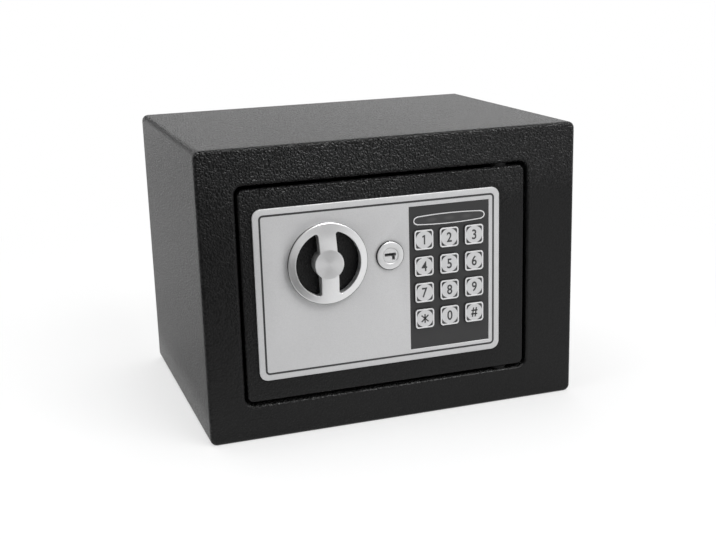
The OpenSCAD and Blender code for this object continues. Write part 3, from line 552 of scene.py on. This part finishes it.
def plastic(name, color, roughness, per_metre, depth, coat=0.0):
    """Moulded plastic, ink, or steel coloured near black as painted shade, with a fine even grain."""
    mat, tree, shader = new_material(name, color, roughness)
    shader.inputs["Coat Weight"].default_value = coat
    grain = add_noise(tree, object_coords(tree), per_metre, 2)
    add_bump(tree, shader, grain, depth, strength=0.4)
    uneven_gloss(tree, shader, 40, roughness - 0.05, roughness + 0.07)
    color_by(tree, shader, grain, color, tuple(min(1, c * 1.18) for c in color))
    return mat


def ribbed_mat():
    """Dark ribbed floor mat."""
    mat, tree, shader = new_material("ribbed_mat", (0.03, 0.03, 0.032), 0.95, specular=0.15)
    shader.inputs["Sheen Weight"].default_value = 0.25
    ribs = add_wave(tree, "X", 130, distortion=1.2, detail_scale=6)
    fuzz = add_math(tree, "MULTIPLY", add_noise(tree, object_coords(tree), 2600), 0.8)
    height = add_sum(tree, ribs, fuzz)
    add_bump(tree, shader, height, 0.5 * MM, strength=0.7)
    color_by(tree, shader, height, (0.018, 0.018, 0.019), (0.05, 0.05, 0.053))
    return mat


def board_lacquer():
    """Green solder mask with copper tracks showing through."""
    mat, tree, shader = new_material("board_lacquer", (0.01, 0.09, 0.04), 0.3)
    tracks = tree.nodes.new("ShaderNodeTexBrick")
    tracks.inputs["Scale"].default_value = 120
    tracks.inputs["Mortar Size"].default_value = 0.04
    tracks.inputs["Color1"].default_value = (0.008, 0.07, 0.03, 1)
    tracks.inputs["Color2"].default_value = (0.012, 0.1, 0.045, 1)
    tracks.inputs["Mortar"].default_value = (0.03, 0.19, 0.08, 1)
    lay_flat = tree.nodes.new("ShaderNodeVectorMath")
    lay_flat.operation = "CROSS_PRODUCT"
    lay_flat.inputs[1].default_value = (1, 0, 0)
    tree.links.new(object_coords(tree), lay_flat.inputs[0])
    tree.links.new(lay_flat.outputs[0], tracks.inputs["Vector"])
    tree.links.new(tracks.outputs["Color"], shader.inputs["Base Color"])
    add_bump(tree, shader, tracks.outputs["Fac"], 0.04 * MM, strength=0.5)
    return mat


def coil_winding():
    """Fine varnished copper turns, lying one on the next."""
    mat, tree, shader = new_material("coil_winding", (0.45, 0.17, 0.06), 0.35, metallic=0.7)
    turns = add_wave(tree, "Z", 700)
    add_bump(tree, shader, turns, 0.15 * MM, strength=0.8)
    color_by(tree, shader, turns, (0.22, 0.07, 0.02), (0.5, 0.2, 0.07))
    return mat


def cell_sleeve():
    """Plain battery sleeve: a copper-coloured band at one end, dark over the rest."""
    band_share = 0.3
    border = 0.2 * MM
    dark = (0.02, 0.02, 0.022)
    low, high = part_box("batteries")
    mat, tree, shader = new_material("cell_sleeve", dark, 0.25)
    x, _, _ = split_xyz(tree, object_coords(tree))
    edge = low.x + band_share * (high.x - low.x)
    band = add_range(tree, x, (edge - border, edge + border), (1, 0))
    color_by(tree, shader, band, dark, (0.6, 0.3, 0.1))
    tree.links.new(add_range(tree, band, (0, 1), (0, 0.8)), shader.inputs["Metallic"])
    add_bump(tree, shader, add_noise(tree, object_coords(tree), 500, 2), 0.03 * MM, strength=0.3)
    return mat


def smoked_lens():
    """Smoked lens, on whose colour the lamps behind it are painted as faint lighter spots, standing in for
    the light through it.
    """
    spot_reach = (1 * MM, 4.5 * MM)
    flattened = 2.6
    mat, tree, shader = new_material("smoked_lens", (0.028, 0.028, 0.029), 0.3)
    x, _, z = split_xyz(tree, object_coords(tree))
    low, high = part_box("lamps")
    middle = box_middle("lamps")
    pitch = (high.x - low.x - LAMP_W) / 2
    across = add_math(tree, "SUBTRACT", x, middle.x)
    lamp_number = add_math(tree, "ROUND", add_math(tree, "DIVIDE", across, pitch))
    from_lamp = add_math(tree, "SUBTRACT", across, add_math(tree, "MULTIPLY", lamp_number, pitch))
    up = add_math(tree, "MULTIPLY", add_math(tree, "SUBTRACT", z, middle.z), flattened)
    glow = add_range(tree, add_hypotenuse(tree, from_lamp, up), spot_reach, (1, 0))
    by_lamps = add_range(tree, add_math(tree, "ABSOLUTE", across), (pitch * 1.4, pitch * 1.5), (1, 0))
    spot = add_math(tree, "MULTIPLY", glow, by_lamps)
    # The lamps behind the lens are painted into its colour as lighter spots
    color_by(tree, shader, spot, (0.026, 0.026, 0.027), (0.045, 0.045, 0.045))
    add_bump(tree, shader, add_noise(tree, object_coords(tree), 300, 2), 0.03 * MM, strength=0.2)
    return mat


# ---------------------------------------------------------------- geometry helpers

def give(obj, mat):
    obj.data.materials.clear()
    obj.data.materials.append(mat)


def box_middle(node):
    low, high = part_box(node)
    return (low + high) / 2


def mesh_from(name, bm):
    mesh = bpy.data.meshes.new(name)
    bm.to_mesh(mesh)
    bm.free()
    return mesh


def add_piece(name, mesh, mat, body):
    piece = link_object(bpy.data.objects.new(name, mesh))
    give(piece, mat)
    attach(piece, body)
    return piece


def stand_for(node, mesh, mat):
    """Shows a mesh in the place of a CAD node, on the same body."""
    piece = add_piece(node + "_shown", mesh, mat, nodes[node]["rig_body"])
    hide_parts(node)
    return piece


def smooth_by_angle(obj, degrees=30):
    """Smooth shading, with the edges sharper than the angle kept crisp."""
    for face in obj.data.polygons:
        face.use_smooth = True
    bm = bmesh.new()
    bm.from_mesh(obj.data)
    limit = math.radians(degrees)
    for edge in bm.edges:
        edge.smooth = len(edge.link_faces) == 2 and edge.calc_face_angle(math.pi) < limit
    bm.to_mesh(obj.data)
    bm.free()


def bevel_sharp(bm, width, degrees):
    """Rounds the edges whose faces turn by more than the angle."""
    sharp = [e for e in bm.edges
             if len(e.link_faces) == 2 and e.calc_face_angle(0) > math.radians(degrees)]
    bmesh.ops.bevel(bm, geom=sharp, offset=width, segments=BEVEL_STEPS, profile=0.5, affect="EDGES",
                    clamp_overlap=True)


def soften(node, width, mat, sink=0.0):
    """A copy of a CAD node with its outer edges rounded by width, moved back by sink, which stands for it."""
    bm = bmesh.new()
    bm.from_mesh(nodes[node].data)
    bmesh.ops.remove_doubles(bm, verts=bm.verts, dist=WELD)
    bmesh.ops.dissolve_limit(bm, angle_limit=math.radians(FLAT_DEG), verts=bm.verts, edges=bm.edges)
    bevel_sharp(bm, width, SHARP_DEG)
    bmesh.ops.translate(bm, verts=bm.verts, vec=(0, sink, 0))
    smooth_by_angle(stand_for(node, mesh_from(node + "_shown", bm), mat))


def turn_copy(node, degrees, mat):
    """A copy of a CAD node turned about its own middle, across the front, which stands for the node."""
    middle = box_middle(node)
    turn = Matrix.Rotation(math.radians(degrees), 4, "Y")
    mesh = nodes[node].data.copy()
    mesh.transform(Matrix.Translation(middle) @ turn @ Matrix.Translation(-middle))
    stand_for(node, mesh, mat)


def round_off(piece, width):
    """Rounds a band's edges by a bevel that is applied to its mesh."""
    bm = bmesh.new()
    bm.from_mesh(piece.data)
    bevel_sharp(bm, width, BAND_SHARP_DEG)
    bm.to_mesh(piece.data)
    bm.free()
    smooth_by_angle(piece, 35)


def rounded_loop(x0, x1, z0, z1, r):
    """Points around a rectangle with round corners, anticlockwise from the front."""
    points = []
    corners = ((x1 - r, z1 - r), (x0 + r, z1 - r), (x0 + r, z0 + r), (x1 - r, z0 + r))
    for quarter, (cx, cz) in enumerate(corners):
        for k in range(CORNER_STEPS + 1):
            a = math.radians(90 * (quarter + k / CORNER_STEPS))
            points.append((cx + r * math.cos(a), cz + r * math.sin(a)))
    return points


def bridge(bm, ring, next_ring):
    """Faces between two rings of as many points."""
    count = len(ring)
    for k in range(count):
        n = (k + 1) % count
        bm.faces.new((ring[k], ring[n], next_ring[n], next_ring[k]))


def flat_band(name, outer, inner, y_front, y_back, mat, body):
    """A band between two loops of as many points, as a thin closed ring facing the front."""
    bm = bmesh.new()
    rings = []
    for loop, y in ((outer, y_back), (outer, y_front), (inner, y_front), (inner, y_back)):
        rings.append([bm.verts.new((x, y, z)) for x, z in loop])
    for ring, next_ring in zip(rings, rings[1:] + rings[:1]):
        bridge(bm, ring, next_ring)
    bmesh.ops.recalc_face_normals(bm, faces=bm.faces)
    piece = add_piece(name, mesh_from(name, bm), mat, body)
    smooth_by_angle(piece)
    return piece


def add_prism(bm, outline, y_front, y_back):
    """A closed solid between two copies of an outline, facing the front."""
    front, back = ([bm.verts.new((x, y, z)) for x, z in outline] for y in (y_front, y_back))
    bridge(bm, back, front)
    bm.faces.new(front)
    bm.faces.new(back[::-1])


# ---------------------------------------------------------------- pieces

def make_pinstripe(mat):
    """The thin black line printed round the fascia."""
    low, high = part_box("fascia")
    loops = []
    for grow in (0, STRIPE_W):
        d = STRIPE_INSET + grow
        loops.append(rounded_loop(low.x + d, high.x - d, low.z + d, high.z - d, STRIPE_CORNER - grow))
    flat_band("pinstripe", *loops, low.y - STRIPE_RAISED, low.y + STRIPE_RAISED, mat, "door")


def lens_loop(grow):
    """The lens's outline: long arcs above and below with short round ends, grown by a distance."""
    low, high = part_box("lamp_lens")
    middle = box_middle("lamp_lens")
    half_w = (high.x - low.x) / 2 - LENS_FOOT + grow
    half_h = (high.z - low.z) / 2 - LENS_FOOT + grow
    end_h = half_h - LENS_BOW
    end_x = half_w - LENS_CORNER
    points = []
    for side in (1, -1):
        for k in range(LENS_STEPS):
            x = (1 - 2 * k / (LENS_STEPS - 1)) * end_x * side
            bow = LENS_BOW * (1 - (x / half_w) ** 2)
            points.append((middle.x + x, middle.z + side * (end_h + bow)))
        for k in range(1, LENS_END_STEPS):
            a = math.radians(90 + 180 * k / LENS_END_STEPS)
            points.append((middle.x + side * (LENS_CORNER * math.cos(a) - end_x),
                           middle.z + side * end_h * math.sin(a)))
    return points


def make_lens_rim(mat):
    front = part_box("lamp_lens")[0].y
    flat_band("lens_rim", lens_loop(0), lens_loop(-LENS_RIM_W), front - LENS_RIM_PROUD,
              front + LENS_RIM_SUNK, mat, "door")


def make_disc(name, x, z, r, y_front, y_back, mat, body):
    """A flat round disc facing the front."""
    angles = [2 * math.pi * k / DISC_STEPS for k in range(DISC_STEPS)]
    bm = bmesh.new()
    add_prism(bm, [(x + r * math.cos(a), z + r * math.sin(a)) for a in angles], y_front, y_back)
    bmesh.ops.recalc_face_normals(bm, faces=bm.faces)
    smooth_by_angle(add_piece(name, mesh_from(name, bm), mat, body))


def make_glyph(name, text, x, z, y, mat, body):
    """A printed character of the built-in typeface, narrowed, standing just proud of the key."""
    curve = bpy.data.curves.new(name, "FONT")
    curve.body = text
    curve.size = SIGN_H * FONT_SIZE_PER_H
    curve.align_x = "CENTER"
    curve.extrude = PRINT_HALF_DEPTH
    curve.offset = FONT_SWELL
    glyph = link_object(bpy.data.objects.new(name + "_text", curve))
    bpy.context.view_layer.update()
    mesh = bpy.data.meshes.new_from_object(glyph.evaluated_get(bpy.context.evaluated_depsgraph_get()))
    bpy.data.objects.remove(glyph)
    xs = [v.co.x for v in mesh.vertices]
    ys = [v.co.y for v in mesh.vertices]
    middle_x = (min(xs) + max(xs)) / 2
    middle_y = (min(ys) + max(ys)) / 2
    for v in mesh.vertices:
        v.co = (x + (v.co.x - middle_x) * SIGN_SQUEEZE, y - v.co.z, z + v.co.y - middle_y)
    add_piece(name, mesh, mat, body)


def make_strokes(name, strokes, x, z, y, mat, body):
    """A printed sign of straight strokes, each given by its ends and drawn as a thin bar."""
    bm = bmesh.new()
    for x0, z0, x1, z1 in strokes:
        start = Vector((x + x0 * MM, z + z0 * MM))
        end = Vector((x + x1 * MM, z + z1 * MM))
        side = (end - start).orthogonal().normalized() * STROKE_HALF_W
        corners = [start - side, end - side, end + side, start + side]
        add_prism(bm, corners, y - PRINT_HALF_DEPTH, y + PRINT_HALF_DEPTH)
    bmesh.ops.recalc_face_normals(bm, faces=bm.faces)
    add_piece(name, mesh_from(name, bm), mat, body)


def make_key(name, cap_mat, rim_mat, disc_mat, ink_mat):
    """One key: dark cap, raised silver rim, silver disc and its sign."""
    node = "key_" + name
    low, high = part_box(node)
    middle = box_middle(node)
    x, y, z = middle.x, low.y, middle.z
    half = (high.x - low.x) / 2 - KEY_FOOT
    inner_half = half - RIM_W
    soften(node, KEY_EDGE, cap_mat, KEY_SINK)
    outer, inner = (rounded_loop(x - h, x + h, z - h, z + h, corner)
                    for h, corner in ((half, RIM_CORNER), (inner_half, RIM_INNER_CORNER)))
    rim = flat_band(node + "_rim", outer, inner, y - RIM_PROUD, y + RIM_SUNK, rim_mat, node)
    round_off(rim, RIM_EDGE)
    make_disc(node + "_disc", x, z, inner_half + DISC_LAP, y - DISC_PROUD, y + DISC_SUNK, disc_mat, node)
    if name in STROKES:
        make_strokes(node + "_print", STROKES[name], x, z, y - PRINT_PROUD, ink_mat, node)
    else:
        make_glyph(node + "_print", name, x, z, y - PRINT_PROUD, ink_mat, node)


# ---------------------------------------------------------------- the scene

make_camera()
make_world()
make_floor()
make_card("front_card", place=(0.1, -1.25, 0.51), size=(2.6, 0.42), turn_deg=(90, 0, 0))
make_card("back_card", place=(-0.24, 1.2, 0.34), size=(0.35, 0.34), turn_deg=(90, 0, 0))
make_card("near_card", place=(-0.35, -0.46, 0.01), size=(0.64, 0.56))
make_card("far_card", place=(-0.27, -0.9, 0.009), size=(0.8, 1.1))
make_card("side_card", place=(-0.37, 0.45, 0.01), size=(0.5, 1.1), tone=0.6)
make_card("left_card", place=(-0.45, -0.4, 0.5), size=(0.75, 0.98), turn_deg=(90, 0, -60))
make_area_light("sky_panel", place=(-0.1, 0.35, 1.3), size=(1.4, 1.2), power=12)
make_area_light("front_panel", place=(0.45, -0.9, 1.0), size=(1.0, 0.75), power=10)
make_area_light("left_panel", place=(-1.2, -0.3, 0.6), size=(0.7, 0.9), power=4)
make_area_light("edge_strip", place=(0.35, -0.4, 1.2), size=(0.9, 0.2), power=20, target=(0, -0.085, 0.16),
                diffuse=False)

wrap_coat = wrinkle_coat("wrap_coat", specular=0.33)
front_coat = wrinkle_coat("front_coat", specular=0.21)
paint = smooth_paint()
silver_print = fascia_silver()
zinc = satin_metal("zinc_plate", (0.56, 0.57, 0.58), 0.32, 500, 0.04 * MM)
brass = satin_metal("turned_brass", (0.62, 0.44, 0.16), 0.3, 400, 0.03 * MM, stretch=(1, 1, 8))
chrome = satin_metal("lock_chrome", (0.68, 0.68, 0.69), 0.13, 300, 0.01 * MM, spread=0.03)
lock_metal = lock_satin("lock_satin")
lock_rim = lock_satin("lock_rim_satin")
# A thin dark line of painted shade round the lock's outer edge
paint_shade_line(lock_rim, "lock_barrel", LOCK_SHADE_LINE_R)
# Near-black steel for the hinge bushes and washers: painted shade for the narrow gap round the door, where
# they show
gap_shade_black = plastic("gap_shade_steel", (0.006, 0.006, 0.0063), 0.8, 900, 0.02 * MM)
knob_metal = turned_satin()
panel_dark = plastic("panel_dark", (0.014, 0.014, 0.0145), 0.5, 1800, 0.02 * MM)
moulded = plastic("moulded_black", (0.018, 0.018, 0.019), 0.5, 1500, 0.04 * MM)
silicone = plastic("silicone_mat", (0.07, 0.07, 0.073), 0.6, 800, 0.03 * MM)
key_cap = plastic("key_cap", (0.03, 0.03, 0.031), 0.4, 1800, 0.02 * MM)
key_silver = plastic("key_silver", (0.56, 0.56, 0.565), 0.42, 2200, 0.03 * MM)
key_face = plastic("key_face", (0.47, 0.47, 0.475), 0.45, 1500, 0.06 * MM)
ink = plastic("ink_dark", (0.03, 0.03, 0.031), 0.5, 2000, 0.01 * MM)
stripe_ink = plastic("stripe_ink", (0.02, 0.02, 0.021), 0.5, 2000, 0.01 * MM)
red_plastic = plastic("red_plastic", (0.45, 0.015, 0.012), 0.3, 1200, 0.02 * MM)
wire_red = plastic("wire_red", (0.35, 0.012, 0.01), 0.4, 900, 0.02 * MM)
lamp_clear = plastic("lamp_clear", (0.7, 0.71, 0.69), 0.15, 600, 0.01 * MM, coat=0.5)

# CAD nodes that keep their own shape, by finish
PLAIN = {
    wrap_coat: ["body_wrap", "back_panel"],
    front_coat: ["front_frame", "door_plate"],
    paint: ["door_box", "inner_cover", "hinge_blocks"],
    ribbed_mat(): ["floor_mat"],
    brass: ["spindle_bush"],
    gap_shade_black: ["hinge_bushes", "hinge_washers"],
    zinc: ["screws", "hinge_pins", "guide_studs", "solenoid_frame", "lock_nut",
           "battery_contacts", "knob_spindle", "crank_disc", "spindle_clip", "bolt_carriage", "lock_arm",
           "stop_lugs", "lock_cam", "plunger", "release_link", "plunger_spring"],
    chrome: ["bolts"],
    lock_metal: ["lock_plug"],
    silicone: ["key_mat"],
    board_lacquer(): ["circuit_board"],
    coil_winding(): ["solenoid_coil"],
    moulded: ["battery_tray", "keypad_housing", "buzzer", "reset_switch", "battery_lid"],
    cell_sleeve(): ["batteries"],
    wire_red: ["wiring"],
    lamp_clear: ["lamps"],
    red_plastic: ["reset_button"],
    smoked_lens(): ["lamp_lens"],
    panel_dark: ["keypad_panel"],
}
for finish, names in PLAIN.items():
    for node_name in names:
        give(nodes[node_name], finish)

soften("fascia", 0.35 * MM, silver_print)
turn_copy("knob", KNOB_TILT_DEG, knob_metal)
soften("lock_barrel", 0.3 * MM, lock_rim)
make_pinstripe(stripe_ink)
make_lens_rim(key_silver)
for key_name in KEY_NAMES:
    make_key(key_name, key_cap, key_silver, key_face, ink)

scene = bpy.context.scene
scene.view_settings.view_transform = "Standard"
